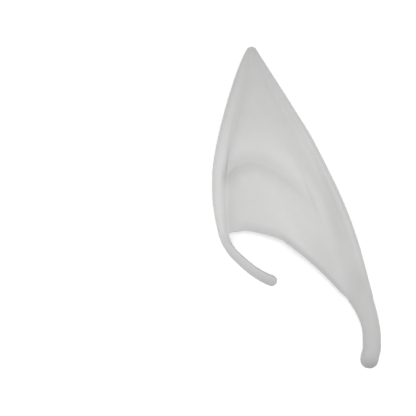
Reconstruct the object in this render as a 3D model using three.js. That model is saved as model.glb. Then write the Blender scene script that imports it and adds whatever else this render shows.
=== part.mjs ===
// Elf ear tip: a slip-on ear point, cast in thin white latex as one hollow piece.
// It lies on its flat back. +Z goes up through the modelled front, +Y to the point, +X to the tail's side.
// The pocket for the wearer's ear opens under the arched lower edge of the front wall.

import * as THREE from 'three';

// Overall sizes in millimetres
const LENGTH = 120; // end of the point to end of the tail, along Y
const WIDTH = 63; // front edge to outside of the tail, along X
const DEPTH = 15; // flat back to the highest bulge of the front, along Z

// Sizes of the casting
const WALL = 1.3;
const SOLID_POINT = 13; // length of the point that is cast solid, before the pocket starts
const POCKET_CROWN = 7; // length over which the pocket rounds off at its top
const FRONT_RIM = 4.6; // outer side of the front rim to the crease behind it
const BACK_RIM = 4.8; // outer side of the back rim to the middle of its groove
const LIP_ROLL = 1.5; // how far the front wall rolls down at the arched edge of the mouth
const LIP_ROLL_WIDTH = 4; // width of that roll
const EDGE_ROUND = 3.6; // radius where the sides turn under to the flat back
const HEM = 9.5; // width of the front wall where it runs down into the tail
const BACK_ARCH_RISE = 13; // how much higher the back wall ends than the front wall
const FOLD_DEPTH = 2.4;
const FOLD_HALF_WIDTH = 3.4;
const HOOK_DIAMETER = 3.9;
const TAIL_WIDTH = 6.7;
const TAIL_THICKNESS = 5.6;
const HOOK_SECTION = 0.6; // squareness of its section, where 1 is round and less is squarer
const TAIL_SECTION = 0.65;
const HOOK_BLEND = 8; // length over which the hook fills up to a solid section
const TAIL_BLEND = 14; // length over which the tail does
const TAIL_FALL = 24; // length over which the tail comes down to its thickness

// Outline of the two long edges, station by station from the point (0) to the mouth (1).
// x is a share of WIDTH from the front side, y a share of LENGTH from the point down.
// fold and arch say how much of the fold's and of the mouth's curved shape the front wall takes there,
// under how much of the mouth's shape the back wall takes.
const EDGES = [
  { at: 0.0, frontX: 0.236, frontY: 0.0, backX: 0.236, backY: 0.0, fold: 0, arch: 0, under: 0 },
  { at: 0.012, frontX: 0.214, frontY: 0.004, backX: 0.255, backY: 0.004, fold: 0, arch: 0, under: 0 },
  { at: 0.03, frontX: 0.198, frontY: 0.017, backX: 0.271, backY: 0.017, fold: 0, arch: 0, under: 0 },
  { at: 0.06, frontX: 0.176, frontY: 0.042, backX: 0.301, backY: 0.042, fold: 0, arch: 0, under: 0 },
  { at: 0.12, frontX: 0.143, frontY: 0.085, backX: 0.357, backY: 0.088, fold: 0, arch: 0, under: 0 },
  { at: 0.2, frontX: 0.112, frontY: 0.135, backX: 0.422, backY: 0.141, fold: 0, arch: 0, under: 0 },
  { at: 0.3, frontX: 0.078, frontY: 0.193, backX: 0.508, backY: 0.213, fold: 0.05, arch: 0, under: 0 },
  { at: 0.4, frontX: 0.047, frontY: 0.256, backX: 0.591, backY: 0.284, fold: 0.2, arch: 0, under: 0.03 },
  { at: 0.5, frontX: 0.024, frontY: 0.312, backX: 0.678, backY: 0.373, fold: 0.45, arch: 0, under: 0.12 },
  { at: 0.6, frontX: 0.007, frontY: 0.367, backX: 0.785, backY: 0.492, fold: 0.75, arch: 0, under: 0.28 },
  { at: 0.7, frontX: 0.001, frontY: 0.402, backX: 0.87, backY: 0.617, fold: 1, arch: 0, under: 0.45 },
  { at: 0.8, frontX: 0.002, frontY: 0.464, backX: 0.897, backY: 0.668, fold: 0.6, arch: 0.3, under: 0.62 },
  { at: 0.9, frontX: 0.016, frontY: 0.526, backX: 0.924, backY: 0.721, fold: 0.25, arch: 0.65, under: 0.8 },
  { at: 1.0, frontX: 0.035, frontY: 0.575, backX: 0.952, backY: 0.777, fold: 0, arch: 1, under: 1 },
];

// Relief of the front wall at the same stations. The widths are shares of FRONT_RIM, BACK_RIM and HEM,
// the heights shares of DEPTH, listed in order across the wall from the front side to the back side.
const RELIEF = [
  { at: 0.0, rimWidth: 0.6, grooveWidth: 0.4, hemWidth: 1, side: 0.2, rim: 0.2, crease: 0.2,
    bowl: 0.2, dome: 0.2, hem: 0.2, groove: 0.2, backRim: 0.2, belly: 0.2 },
  { at: 0.012, rimWidth: 0.64, grooveWidth: 0.42, hemWidth: 1, side: 0.2, rim: 0.28, crease: 0.28,
    bowl: 0.285, dome: 0.29, hem: 0.285, groove: 0.28, backRim: 0.28, belly: 0.11 },
  { at: 0.03, rimWidth: 0.7, grooveWidth: 0.45, hemWidth: 1, side: 0.21, rim: 0.34, crease: 0.338,
    bowl: 0.35, dome: 0.355, hem: 0.35, groove: 0.345, backRim: 0.345, belly: 0.07 },
  { at: 0.06, rimWidth: 0.8, grooveWidth: 0.5, hemWidth: 1, side: 0.22, rim: 0.4, crease: 0.388,
    bowl: 0.393, dome: 0.405, hem: 0.415, groove: 0.405, backRim: 0.41, belly: 0.03 },
  { at: 0.12, rimWidth: 0.98, grooveWidth: 0.6, hemWidth: 1, side: 0.26, rim: 0.455, crease: 0.432,
    bowl: 0.443, dome: 0.46, hem: 0.475, groove: 0.455, backRim: 0.475, belly: 0 },
  { at: 0.2, rimWidth: 1.03, grooveWidth: 0.77, hemWidth: 1, side: 0.29, rim: 0.51, crease: 0.474,
    bowl: 0.5, dome: 0.53, hem: 0.545, groove: 0.505, backRim: 0.53, belly: 0 },
  { at: 0.3, rimWidth: 1.18, grooveWidth: 0.92, hemWidth: 1.2, side: 0.31, rim: 0.545, crease: 0.498,
    bowl: 0.546, dome: 0.6, hem: 0.61, groove: 0.565, backRim: 0.595, belly: 0 },
  { at: 0.4, rimWidth: 1.28, grooveWidth: 0.98, hemWidth: 1.35, side: 0.32, rim: 0.57, crease: 0.516,
    bowl: 0.588, dome: 0.65, hem: 0.675, groove: 0.625, backRim: 0.655, belly: 0 },
  { at: 0.5, rimWidth: 1.34, grooveWidth: 1.03, hemWidth: 1.35, side: 0.32, rim: 0.58, crease: 0.524,
    bowl: 0.612, dome: 0.7, hem: 0.74, groove: 0.675, backRim: 0.71, belly: 0 },
  { at: 0.6, rimWidth: 1.3, grooveWidth: 1.13, hemWidth: 1.28, side: 0.32, rim: 0.585, crease: 0.524,
    bowl: 0.63, dome: 0.74, hem: 0.81, groove: 0.735, backRim: 0.77, belly: 0 },
  { at: 0.7, rimWidth: 1.26, grooveWidth: 1.15, hemWidth: 1.5, side: 0.32, rim: 0.585, crease: 0.52,
    bowl: 0.65, dome: 0.8, hem: 0.88, groove: 0.785, backRim: 0.81, belly: 0 },
  { at: 0.8, rimWidth: 1.14, grooveWidth: 1.2, hemWidth: 1.55, side: 0.32, rim: 0.575, crease: 0.512,
    bowl: 0.675, dome: 0.93, hem: 0.87, groove: 0.77, backRim: 0.78, belly: 0 },
  { at: 0.9, rimWidth: 0.98, grooveWidth: 0.96, hemWidth: 1.3, side: 0.3, rim: 0.54, crease: 0.48,
    bowl: 0.685, dome: 1, hem: 0.8, groove: 0.7, backRim: 0.7, belly: 0 },
  { at: 1.0, rimWidth: 0.78, grooveWidth: 0.8, hemWidth: 1, side: 0.27, rim: 0.5, crease: 0.44,
    bowl: 0.68, dome: 0.98, hem: 0.66, groove: 0.6, backRim: 0.6, belly: 0 },
];

// Where the bowl and the dome lie between the crease (0) and the hem (1)
const BOWL_PLACE = 0.2;
const DOME_PLACE = 0.55;
// The front rim is flat-topped: it rises to its crest, a share of its width in, then falls to the crease
const RIM_CREST = 0.55;
const RIM_FALL = 1.8;
// Fullness of both rims' outer sides, where 1 is a round side and less a squarer one
const RIM_FULLNESS = 0.5;
// Share of the mouth's width over which the roll of its arched edge fades out at both ends
const LIP_ROLL_FADE = 0.16;
// No rim, groove or hem takes more of a narrow station than these shares of its width
const MOST_RIM = 0.3;
const MOST_GROOVE = 0.3;
const MOST_HEM = 0.42;
const MOST_ROUND = 0.4;

// Lower edge of the front wall, evenly spaced from the crotch beside the hook to the tail
const ARCH = [
  { along: 0.0, x: 0.092, y: 0.578 },
  { along: 0.125, x: 0.191, y: 0.566 },
  { along: 0.25, x: 0.302, y: 0.577 },
  { along: 0.375, x: 0.404, y: 0.594 },
  { along: 0.5, x: 0.492, y: 0.627 },
  { along: 0.625, x: 0.575, y: 0.662 },
  { along: 0.75, x: 0.654, y: 0.7 },
  { along: 0.875, x: 0.73, y: 0.741 },
  { along: 1.0, x: 0.805, y: 0.785 },
];

// Valley of the arched fold, from the front crease up, over and down to the back groove.
// depth is a share of FOLD_DEPTH. FOLD_SHARPNESS 1 is a sharp valley and 2 a round one.
const FOLD_STATION = 0.7;
const FOLD_SHARPNESS = 1.3;
const FOLD = [
  { along: 0.0, x: 0.089, y: 0.402, depth: 0.65 },
  { along: 0.14, x: 0.136, y: 0.373, depth: 1 },
  { along: 0.28, x: 0.235, y: 0.358, depth: 0.9 },
  { along: 0.42, x: 0.345, y: 0.378, depth: 0.68 },
  { along: 0.56, x: 0.453, y: 0.417, depth: 0.52 },
  { along: 0.7, x: 0.553, y: 0.466, depth: 0.5 },
  { along: 0.85, x: 0.64, y: 0.54, depth: 0.6 },
  { along: 1.0, x: 0.788, y: 0.608, depth: 0.3 },
];

// Middle lines of the two strands, from the mouth to their round ends
const HOOK_LINE = [
  { along: 0.0, x: 0.063, y: 0.577 },
  { along: 0.16, x: 0.086, y: 0.605 },
  { along: 0.32, x: 0.124, y: 0.636 },
  { along: 0.5, x: 0.181, y: 0.666 },
  { along: 0.68, x: 0.252, y: 0.697 },
  { along: 0.85, x: 0.32, y: 0.719 },
  { along: 1.0, x: 0.384, y: 0.731 },
];
const TAIL_LINE = [
  { along: 0.0, x: 0.878, y: 0.782 },
  { along: 0.16, x: 0.909, y: 0.817 },
  { along: 0.33, x: 0.933, y: 0.857 },
  { along: 0.5, x: 0.946, y: 0.896 },
  { along: 0.67, x: 0.947, y: 0.933 },
  { along: 0.84, x: 0.934, y: 0.967 },
  { along: 1.0, x: 0.925, y: 1.0 },
];

// Round section of a strand: where its row of points starts, and how much of it grows from the outer skin
const HOOK_START_ANGLE = (-70 * Math.PI) / 180;
const HOOK_OUTER_SWEEP = (265 * Math.PI) / 180;
const TAIL_START_ANGLE = (150 * Math.PI) / 180;
const TAIL_OUTER_SWEEP = (285 * Math.PI) / 180;

// Fineness of the mesh: rows from point to mouth, columns across each stretch of a section
const ROWS_TO_FOLD = 36;
const ROWS_TO_MOUTH = 15;
const ROW_CROWDING = 0.5; // rows lie closer together at the point, the fold and the mouth
const POCKET_ROWS = 26;
const LIP_FADE = 2; // columns over which the rounding of a lip fades out at its ends
const STRAND_CROWDING = 1.15; // rows of a strand lie closer together towards its end
const LAST_ROW = 0.35; // share of a row's step that is left for the end of a strand
const LINE_STEPS = 80; // straight steps that stand for a curved line when lengths along it are measured
const FOLD_STEPS = 60;
const SEARCH_STEPS = 40;
const HOOK_ROWS = 14;
const TAIL_ROWS = 18;
const COLUMNS = {
  rimOut: 3,
  rimIn: 3,
  middle: 22,
  hemIn: 3,
  backRimIn: 2,
  backRimOut: 3,
  turn: 3,
  tailFlat: 2,
  flat: 10,
};

// Smooth value of one column of a table: cubic pieces that never overshoot a row
function valueAt(table, key, column, place) {
  const last = table.length - 1;
  let row = 0;
  while (row < last - 1 && place > table[row + 1][key]) row += 1;
  const slope = (index) => {
    if (index <= 0 || index >= last) {
      const from = Math.min(Math.max(index - 1, 0), last - 1);
      return (table[from + 1][column] - table[from][column]) / (table[from + 1][key] - table[from][key]);
    }
    const stepIn = table[index][key] - table[index - 1][key];
    const stepOut = table[index + 1][key] - table[index][key];
    const riseIn = (table[index][column] - table[index - 1][column]) / stepIn;
    const riseOut = (table[index + 1][column] - table[index][column]) / stepOut;
    if (riseIn * riseOut <= 0) return 0;
    const weightIn = 2 * stepOut + stepIn;
    const weightOut = stepOut + 2 * stepIn;
    return (weightIn + weightOut) / (weightIn / riseIn + weightOut / riseOut);
  };
  const step = table[row + 1][key] - table[row][key];
  const t = Math.min(Math.max((place - table[row][key]) / step, 0), 1);
  const startWeight = 2 * t ** 3 - 3 * t ** 2 + 1;
  const startPull = t ** 3 - 2 * t ** 2 + t;
  const endPull = t ** 3 - t ** 2;
  return (
    startWeight * table[row][column] +
    (1 - startWeight) * table[row + 1][column] +
    step * (startPull * slope(row) + endPull * slope(row + 1))
  );
}

const xOf = (share) => (share - 0.5) * WIDTH;
const yOf = (share) => (0.5 - share) * LENGTH;
const ease = (t) => t * t * (3 - 2 * t);
const easeOut = (t) => t * (2 - t);
const mix = (a, b, t) => a + (b - a) * t;

function planPoint(table, place) {
  const x = xOf(valueAt(table, 'along', 'x', place));
  const y = yOf(valueAt(table, 'along', 'y', place));
  return new THREE.Vector2(x, y);
}

// The two edges of a station and what its section needs
function stationAt(at) {
  const edge = (column) => valueAt(EDGES, 'at', column, at);
  const front = new THREE.Vector2(xOf(edge('frontX')), yOf(edge('frontY')));
  const back = new THREE.Vector2(xOf(edge('backX')), yOf(edge('backY')));
  const width = front.distanceTo(back);
  const relief = (column) => valueAt(RELIEF, 'at', column, at);
  const height = (column) => DEPTH * relief(column);
  return {
    front,
    back,
    width,
    fold: edge('fold'),
    arch: edge('arch'),
    under: edge('under'),
    rimWidth: Math.min(FRONT_RIM * relief('rimWidth'), MOST_RIM * width),
    grooveWidth: Math.min(BACK_RIM * relief('grooveWidth'), MOST_GROOVE * width),
    hemWidth: Math.min(HEM * relief('hemWidth'), MOST_HEM * width),
    round: Math.min(EDGE_ROUND, MOST_ROUND * width),
    side: height('side'),
    rim: height('rim'),
    crease: height('crease'),
    bowl: height('bowl'),
    dome: height('dome'),
    hem: height('hem'),
    groove: height('groove'),
    backRim: height('backRim'),
    belly: height('belly'),
  };
}

const MOUTH = stationAt(1);
const CROTCH = planPoint(ARCH, 0);
const TAIL_ROOT = planPoint(ARCH, 1);
const CREST = stationAt(FOLD_STATION);
const FOLD_START = planPoint(FOLD, 0);
const FOLD_END = planPoint(FOLD, 1);

// Plan line of the mouth: across the hook, along the arch, across the tail
function mouthPoint(across, rise) {
  const hookShare = MOUTH.rimWidth / MOUTH.width;
  const tailShare = 1 - MOUTH.hemWidth / MOUTH.width;
  if (across <= hookShare) return MOUTH.front.clone().lerp(CROTCH, across / hookShare);
  if (across >= tailShare) return TAIL_ROOT.clone().lerp(MOUTH.back, (across - tailShare) / (1 - tailShare));
  const along = (across - hookShare) / (tailShare - hookShare);
  const point = planPoint(ARCH, along);
  point.y += rise * Math.sin(Math.PI * along);
  return point;
}

// Plan line of the fold: across the front rim, along the valley, across the back rim
function foldPoint(across) {
  const startShare = CREST.rimWidth / CREST.width;
  const endShare = 1 - CREST.grooveWidth / CREST.width;
  if (across <= startShare) return CREST.front.clone().lerp(FOLD_START, across / startShare);
  if (across >= endShare) return FOLD_END.clone().lerp(CREST.back, (across - endShare) / (1 - endShare));
  return planPoint(FOLD, (across - startShare) / (endShare - startShare));
}

// Plan place of a point of a station, given how far across it is in millimetres.
// The back wall doesn't follow the fold, and ends a rise higher than the front wall.
function placeAcross(station, distance, onBack) {
  const across = station.width > 0 ? distance / station.width : 0;
  const place = station.front.clone().lerp(station.back, across);
  const toMouth = mouthPoint(across, onBack ? BACK_ARCH_RISE : 0);
  toMouth.sub(MOUTH.front.clone().lerp(MOUTH.back, across));
  toMouth.multiplyScalar(onBack ? station.under : station.arch);
  if (onBack) return place.add(toMouth);
  const toFold = foldPoint(across).sub(CREST.front.clone().lerp(CREST.back, across));
  return place.add(toMouth).add(toFold.multiplyScalar(station.fold));
}

// Depth of the arched fold's valley at a plan place
const FOLD_LINE = Array.from({ length: FOLD_STEPS + 1 }, (_, i) => {
  const along = i / FOLD_STEPS;
  return { point: planPoint(FOLD, along), depth: FOLD_DEPTH * valueAt(FOLD, 'along', 'depth', along) };
});
function foldDepth(place) {
  let nearest = FOLD_LINE[0];
  for (const spot of FOLD_LINE) {
    if (spot.point.distanceTo(place) < nearest.point.distanceTo(place)) nearest = spot;
  }
  return nearest.depth * Math.exp(-((nearest.point.distanceTo(place) / FOLD_HALF_WIDTH) ** FOLD_SHARPNESS));
}

// Height of the front wall between the crease and the crest of the back rim, before the fold
function wallHeight(station, distance) {
  const { width, rimWidth, hemWidth, grooveWidth } = station;
  const open = width - rimWidth - hemWidth;
  const line = [
    { across: rimWidth, z: station.crease },
    { across: rimWidth + BOWL_PLACE * open, z: station.bowl },
    { across: rimWidth + DOME_PLACE * open, z: station.dome },
    { across: width - hemWidth, z: station.hem },
    { across: width - grooveWidth, z: station.groove },
    { across: width - grooveWidth / 2, z: station.backRim },
  ];
  return valueAt(line, 'across', 'z', distance);
}

// How far the front wall rolls down where it comes to the arched edge of the mouth
function lipDrop(station, distance, place) {
  const across = distance / station.width;
  const hookShare = MOUTH.rimWidth / MOUTH.width;
  const tailShare = 1 - MOUTH.hemWidth / MOUTH.width;
  const fromEnds = Math.min(across - hookShare, tailShare - across);
  const fade = Math.min(Math.max(fromEnds / LIP_ROLL_FADE, 0), 1);
  const near = Math.max(1 - mouthPoint(across, 0).distanceTo(place) / LIP_ROLL_WIDTH, 0);
  return LIP_ROLL * ease(fade) * near ** 2;
}

// Steps of one stretch, its start left out
const steps = (count) => Array.from({ length: count }, (_, i) => (i + 1) / count);

// One section as a closed row of points: over the front wall from the front side, back under the flat back.
// inset 0 gives the outer skin, inset WALL the skin of the pocket, whose rims are cast thick.
function sectionPoints(at, inset) {
  const station = stationAt(at);
  const { width, rimWidth, hemWidth, grooveWidth, round, side, belly } = station;
  const quarter = Math.PI / 2;
  const crease = station.crease - foldDepth(placeAcross(station, rimWidth, false));
  const points = [];
  const put = (distance, z, onBack) => {
    const place = placeAcross(station, distance, onBack);
    points.push(new THREE.Vector3(place.x, place.y, z));
  };
  const putWall = (distance) => {
    const place = placeAcross(station, distance, false);
    const top = wallHeight(station, distance) - lipDrop(station, distance, place);
    const z = top - foldDepth(place) - inset;
    points.push(new THREE.Vector3(place.x, place.y, z));
  };
  const full = (value) => Math.abs(value) ** RIM_FULLNESS;
  put(inset, side, false);
  if (inset === 0) {
    const crest = RIM_CREST * rimWidth;
    for (const t of steps(COLUMNS.rimOut)) {
      const angle = t * quarter;
      put(crest * (1 - full(Math.cos(angle))), mix(side, station.rim, full(Math.sin(angle))), false);
    }
    for (const t of steps(COLUMNS.rimIn)) {
      put(mix(crest, rimWidth, t), mix(station.rim, crease, t ** RIM_FALL), false);
    }
  } else {
    for (const t of steps(COLUMNS.rimOut + COLUMNS.rimIn)) {
      const angle = t * quarter;
      const top = crease - inset;
      put(mix(rimWidth, inset, Math.cos(angle)), mix(side, top, Math.sin(angle)), false);
    }
  }
  const hemStart = width - hemWidth;
  const grooveStart = width - grooveWidth;
  for (const t of steps(COLUMNS.middle)) putWall(mix(rimWidth, hemStart, t));
  for (const t of steps(COLUMNS.hemIn)) putWall(mix(hemStart, grooveStart, t));
  if (inset === 0) {
    for (const t of steps(COLUMNS.backRimIn)) putWall(mix(grooveStart, width - grooveWidth / 2, t));
    for (const t of steps(COLUMNS.backRimOut)) {
      const angle = t * quarter;
      const z = mix(side, station.backRim, full(Math.cos(angle)));
      put(width - (grooveWidth / 2) * (1 - full(Math.sin(angle))), z, false);
    }
  } else {
    for (const t of steps(COLUMNS.backRimIn + COLUMNS.backRimOut)) {
      const angle = t * quarter;
      const top = station.groove - inset;
      put(mix(grooveStart, width - inset, Math.sin(angle)), mix(side, top, Math.cos(angle)), false);
    }
  }
  for (const t of steps(COLUMNS.turn)) {
    const angle = t * quarter;
    put(width - mix(round, inset, Math.cos(angle)), mix(side, belly + inset, Math.sin(angle)), true);
  }
  const tailFlat = Math.max(hemWidth, round);
  for (const t of steps(COLUMNS.tailFlat)) put(width - mix(round, tailFlat, t), belly + inset, true);
  for (const t of steps(COLUMNS.flat)) put(mix(width - tailFlat, round, t), belly + inset, true);
  for (const t of steps(COLUMNS.turn).slice(0, -1)) {
    const angle = t * quarter;
    put(mix(round, inset, Math.sin(angle)), mix(side, belly + inset, Math.cos(angle)), true);
  }
  return points;
}

// The skin: points and triangles, laid as bands between rows of point numbers
const vertices = [];
const triangles = [];
const addPoint = (point) => vertices.push(point) - 1;
const addRow = (points) => points.map(addPoint);

function band(upper, lower, closed) {
  const count = closed ? upper.length : upper.length - 1;
  for (let j = 0; j < count; j += 1) {
    const next = (j + 1) % upper.length;
    triangles.push([upper[j], lower[j], lower[next]], [upper[j], lower[next], upper[next]]);
  }
}
function closeStart(pole, row) {
  row.forEach((_, j) => triangles.push([pole, row[j], row[(j + 1) % row.length]]));
}
function closeEnd(row, pole) {
  row.forEach((_, j) => triangles.push([row[j], pole, row[(j + 1) % row.length]]));
}

// Stations of the outer rows: one of them runs right along the fold
const crowded = (t) => mix(t, 0.5 - 0.5 * Math.cos(Math.PI * t), ROW_CROWDING);
const OUTER_STATIONS = [
  ...steps(ROWS_TO_FOLD).map((t) => FOLD_STATION * crowded(t)),
  ...steps(ROWS_TO_MOUTH).map((t) => mix(FOLD_STATION, 1, crowded(t))),
];

// Outer skin, from the end of the point to the mouth
function layOuterSkin() {
  const pole = addPoint(sectionPoints(0, 0)[0]);
  let row = null;
  for (const at of OUTER_STATIONS) {
    const next = addRow(sectionPoints(at, 0));
    if (row) band(row, next, true);
    else closeStart(pole, next);
    row = next;
  }
  return row;
}

// Station whose front edge lies a given length below the end of the point
function stationBelow(length) {
  let low = 0;
  let high = 1;
  for (let i = 0; i < SEARCH_STEPS; i += 1) {
    const middle = (low + high) / 2;
    if (yOf(0) - yOf(valueAt(EDGES, 'at', 'frontY', middle)) < length) low = middle;
    else high = middle;
  }
  return high;
}

// Pocket skin, from the mouth up to its rounded top
function layPocketSkin(mouthRow) {
  const top = stationBelow(SOLID_POINT);
  const fullSize = stationBelow(SOLID_POINT + POCKET_CROWN);
  let row = mouthRow;
  for (const t of steps(POCKET_ROWS).slice(0, -1)) {
    const at = mix(1, top, t);
    const points = sectionPoints(at, WALL);
    const middle = points.reduce((sum, p) => sum.add(p), new THREE.Vector3()).divideScalar(points.length);
    const short = Math.max((fullSize - at) / (fullSize - top), 0);
    const size = Math.sqrt(1 - short * short);
    const next = addRow(points.map((p) => middle.clone().lerp(p, size)));
    band(row, next, true);
    row = next;
  }
  const last = sectionPoints(top, WALL);
  const pole = last.reduce((sum, p) => sum.add(p), new THREE.Vector3()).divideScalar(last.length);
  closeEnd(row, addPoint(pole));
}

// A strand that grows out of part of the mouth: its root is the bent wall there, which fills up to a
// rounded solid section, runs along a middle line on the ground and closes in a round end.
function layStrand(rootRow, options) {
  const { line, from, to, width, thickness, squareness, startAngle, sweep, blend, filling } = options;
  const { fall, rows, endLength } = options;
  const root = rootRow.map((index) => vertices[index]);
  const rootAcross = to.clone().sub(from);
  const rootHalf = rootAcross.length() / 2;
  const rootMiddle = from.clone().lerp(to, 0.5);
  const rootTall = Math.max(...root.map((p) => p.z));
  rootAcross.normalize();
  const middles = Array.from({ length: LINE_STEPS + 1 }, (_, i) => planPoint(line, i / LINE_STEPS));
  middles[0].copy(rootMiddle);
  const lengths = [0];
  for (let i = 1; i < middles.length; i += 1) {
    lengths.push(lengths[i - 1] + middles[i].distanceTo(middles[i - 1]));
  }
  const total = lengths[lengths.length - 1];
  const middleAt = (length) => {
    let i = 1;
    while (i < lengths.length - 1 && lengths[i] < length) i += 1;
    const t = (length - lengths[i - 1]) / (lengths[i] - lengths[i - 1]);
    const heading = middles[i].clone().sub(middles[i - 1]).normalize();
    return { point: middles[i - 1].clone().lerp(middles[i], t), heading };
  };
  const rounded = (value) => Math.sign(value) * Math.abs(value) ** squareness;
  const outerSteps = root.length / 2 - 1;
  const angleOf = (k) => {
    if (k <= outerSteps) return startAngle - (sweep * k) / outerSteps;
    const inward = (k - outerSteps) / (root.length - outerSteps);
    return startAngle - sweep - (2 * Math.PI - sweep) * inward;
  };
  let row = rootRow;
  for (let i = 1; i <= rows; i += 1) {
    const length = total * (1 - (1 - i / (rows + LAST_ROW)) ** STRAND_CROWDING);
    const filled = filling(Math.min(length / blend, 1));
    const { point, heading } = middleAt(length);
    const across = new THREE.Vector2(-heading.y, heading.x);
    if (across.dot(rootAcross) < 0) across.negate();
    across.lerp(rootAcross, 1 - Math.min((2 * length) / blend, 1)).normalize();
    const pastEnd = Math.max((length - (total - endLength)) / endLength, 0);
    const size = Math.sqrt(1 - pastEnd * pastEnd);
    const half = mix(rootHalf, width / 2, filled) * size;
    const tall = mix(rootTall, thickness, filling(Math.min(length / fall, 1)));
    const points = root.map((p, k) => {
      const angle = angleOf(k);
      const rootSide = new THREE.Vector2(p.x, p.y).sub(rootMiddle).dot(rootAcross) / rootHalf;
      const side = half * mix(rootSide, rounded(Math.cos(angle)), filled);
      const share = mix(p.z / rootTall, 0.5 + 0.5 * rounded(Math.sin(angle)), filled);
      const z = tall * mix(0.5, share, size);
      return new THREE.Vector3(point.x + across.x * side, point.y + across.y * side, z);
    });
    const next = addRow(points);
    band(row, next, true);
    row = next;
  }
  const end = middles[LINE_STEPS];
  closeEnd(row, addPoint(new THREE.Vector3(end.x, end.y, thickness / 2)));
}

// Mouth: the skins meet along the two lips, and the wall between the lips grows on as hook and tail
function layMouth(outerRow, innerRow) {
  const count = outerRow.length;
  const crease = COLUMNS.rimOut + COLUMNS.rimIn;
  const hem = crease + COLUMNS.middle;
  const backSide = hem + COLUMNS.hemIn + COLUMNS.backRimIn + COLUMNS.backRimOut;
  const backTurn = backSide + COLUMNS.turn + COLUMNS.tailFlat;
  const frontTurn = backTurn + COLUMNS.flat;
  const slice = (row, start, end) => {
    const part = [];
    for (let j = start; j <= end; j += 1) part.push(row[j % count]);
    return part;
  };
  const lip = (start, end) => {
    const outer = slice(outerRow, start, end);
    const inner = slice(innerRow, start, end);
    const middle = outer.map((index, j) => {
      const point = vertices[index].clone().lerp(vertices[inner[j]], 0.5);
      const fade = Math.min(j, outer.length - 1 - j, LIP_FADE) / LIP_FADE;
      point.y -= (WALL / 2) * fade;
      return addPoint(point);
    });
    band(outer, middle, false);
    band(middle, inner, false);
    return middle;
  };
  const frontLip = lip(crease, hem);
  const backLip = lip(backTurn, frontTurn);
  const loop = (start, end, middleAtEnd, middleAtStart) => [
    ...slice(outerRow, start, end),
    middleAtEnd,
    ...slice(innerRow, start, end).reverse(),
    middleAtStart,
  ];
  layStrand(loop(frontTurn, count + crease, frontLip[0], backLip[backLip.length - 1]), {
    line: HOOK_LINE,
    from: MOUTH.front,
    to: CROTCH,
    width: HOOK_DIAMETER,
    thickness: HOOK_DIAMETER,
    squareness: HOOK_SECTION,
    startAngle: HOOK_START_ANGLE,
    sweep: HOOK_OUTER_SWEEP,
    blend: HOOK_BLEND,
    fall: HOOK_BLEND,
    filling: ease,
    rows: HOOK_ROWS,
    endLength: HOOK_DIAMETER / 2,
  });
  layStrand(loop(hem, backTurn, backLip[0], frontLip[frontLip.length - 1]), {
    line: TAIL_LINE,
    from: TAIL_ROOT,
    to: MOUTH.back,
    width: TAIL_WIDTH,
    thickness: TAIL_THICKNESS,
    squareness: TAIL_SECTION,
    startAngle: TAIL_START_ANGLE,
    sweep: TAIL_OUTER_SWEEP,
    blend: TAIL_BLEND,
    fall: TAIL_FALL,
    filling: easeOut,
    rows: TAIL_ROWS,
    endLength: TAIL_WIDTH / 2,
  });
}

function makeEarTip() {
  const outerMouth = layOuterSkin();
  const innerMouth = addRow(sectionPoints(1, WALL));
  layMouth(outerMouth, innerMouth);
  layPocketSkin(innerMouth);
  const geometry = new THREE.BufferGeometry();
  const numbers = vertices.flatMap((point) => point.toArray());
  geometry.setAttribute('position', new THREE.Float32BufferAttribute(numbers, 3));
  geometry.setIndex(triangles.flat());
  geometry.computeVertexNormals();
  const latex = new THREE.MeshStandardMaterial({ color: 0xe9e8e4, roughness: 0.55, metalness: 0 });
  const mesh = new THREE.Mesh(geometry, latex);
  mesh.name = 'ear_tip';
  return mesh;
}

const group = new THREE.Group();
group.add(makeEarTip());
export default group;
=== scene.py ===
import math
from bisect import bisect_right
from types import SimpleNamespace

import bpy
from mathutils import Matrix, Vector


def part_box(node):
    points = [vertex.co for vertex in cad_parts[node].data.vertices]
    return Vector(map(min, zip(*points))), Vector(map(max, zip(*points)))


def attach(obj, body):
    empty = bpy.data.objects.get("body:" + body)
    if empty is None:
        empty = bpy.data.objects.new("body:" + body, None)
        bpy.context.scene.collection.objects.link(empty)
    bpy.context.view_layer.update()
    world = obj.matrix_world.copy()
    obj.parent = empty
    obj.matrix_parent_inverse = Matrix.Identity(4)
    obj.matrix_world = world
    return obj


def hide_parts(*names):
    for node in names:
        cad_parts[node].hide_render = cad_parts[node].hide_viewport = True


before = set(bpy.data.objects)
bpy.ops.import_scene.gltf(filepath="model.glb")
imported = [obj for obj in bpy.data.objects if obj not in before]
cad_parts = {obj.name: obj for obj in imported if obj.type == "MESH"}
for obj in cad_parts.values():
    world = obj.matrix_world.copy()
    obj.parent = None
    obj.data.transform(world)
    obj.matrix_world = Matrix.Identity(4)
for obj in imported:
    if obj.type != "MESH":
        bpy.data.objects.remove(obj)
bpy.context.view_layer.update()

# Walls of the ear point: one thin skin of white latex, cast in a mould of a pointed ear and drawn off it.
# The front wall has rolled rims, a hollow, a dome and a soft groove; the sides turn under to a flat back.
# Stations run from the end of the point (0) to the mouth that the wearer's ear goes into (1).
low_corner, high_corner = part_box("ear_tip")
LENGTH = high_corner.y - low_corner.y
WIDTH = high_corner.x - low_corner.x
DEPTH = high_corner.z - low_corner.z
MIDDLE = (low_corner + high_corner) / 2
WALL = 0.0013
FRONT_RIM = 0.0046
BACK_RIM = 0.0048
RIM_CREST = 0.55
RIM_FULLNESS = 0.5
RIM_FALL = 1.5
LIP_ROLL = 0.0015
LIP_ROLL_WIDTH = 0.004
LIP_ROLL_FADE = 0.16
LIP_TAIL_FADE = 0.08
EDGE_ROUND = 0.0036
HEM = 0.0095
BACK_ARCH_RISE = 0.013

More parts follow.
